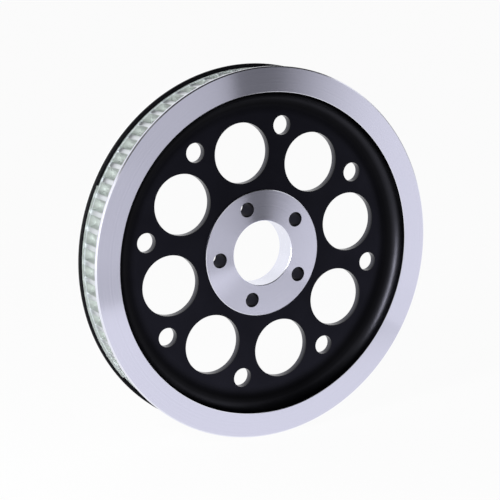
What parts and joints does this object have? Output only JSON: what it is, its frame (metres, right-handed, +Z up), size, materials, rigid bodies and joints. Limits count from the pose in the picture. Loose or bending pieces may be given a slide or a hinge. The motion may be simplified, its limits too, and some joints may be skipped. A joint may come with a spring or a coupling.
{
  "type": "belt pulley",
  "caption": "Flanged toothed belt pulley with a bright rim face, a bored and bolted hub and a black web with round lightening holes.",
  "frame": {"origin": "on the turning axis, in the plane of the hub's back face, which seats on the wheel", "axes": "+Y along the turning axis, from the bright front to the wheel side; +Z up and +X to the right in the front view"},
  "size_m": [0.3176, 0.0365, 0.3176],
  "materials": {
    "aluminium": "satin black coat, with the rim face, hub face, teeth and holes machined bright"
  },
  "bodies": {
    "root": {"belt_pulley": "aluminium"}
  },
  "joints": []
}
